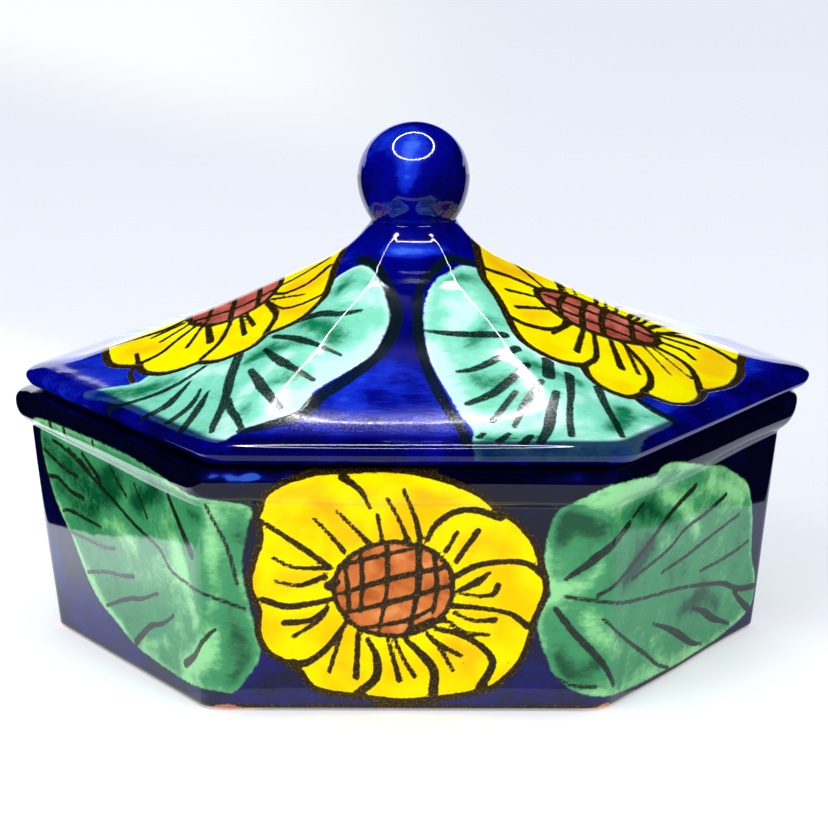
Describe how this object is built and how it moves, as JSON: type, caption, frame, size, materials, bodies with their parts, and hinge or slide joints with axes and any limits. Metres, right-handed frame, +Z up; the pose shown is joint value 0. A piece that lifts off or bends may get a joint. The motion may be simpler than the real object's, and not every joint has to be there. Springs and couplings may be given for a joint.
{
  "type": "covered hexagonal ceramic box",
  "caption": "Hexagonal glazed clay box with a flared lip and a lift-off concave lid that has a ball knob; painted sunflowers and leaves on blue.",
  "frame": {"origin": "centre of the pot's flat foot, on the surface that it stands on", "axes": "+Z up through the knob, +X through two opposite corners, -Y out of the front flat side"},
  "size_m": [0.204, 0.1788, 0.1339],
  "materials": {
    "pot_glaze": "glossy clear glaze over brushed cobalt blue, yellow, green and black-brown decoration; bare red clay foot",
    "lid_glaze": "glossy clear glaze over brushed cobalt blue, yellow, mint green and black-brown decoration",
    "flange_glaze": "thin clear glaze over red clay",
    "knob_glaze": "glossy cobalt blue glaze with lighter brush marks"
  },
  "bodies": {
    "pot": {"pot_body": "pot_glaze"},
    "lid": {"lid_shell": "lid_glaze", "lid_locating_flange": "flange_glaze", "lid_knob": "knob_glaze"}
  },
  "joints": [
    {"name": "lid_lift", "type": "slide", "parent": "pot", "child": "lid", "axis": [0, 0, 1], "range_m": [0, 0.15]}
  ]
}
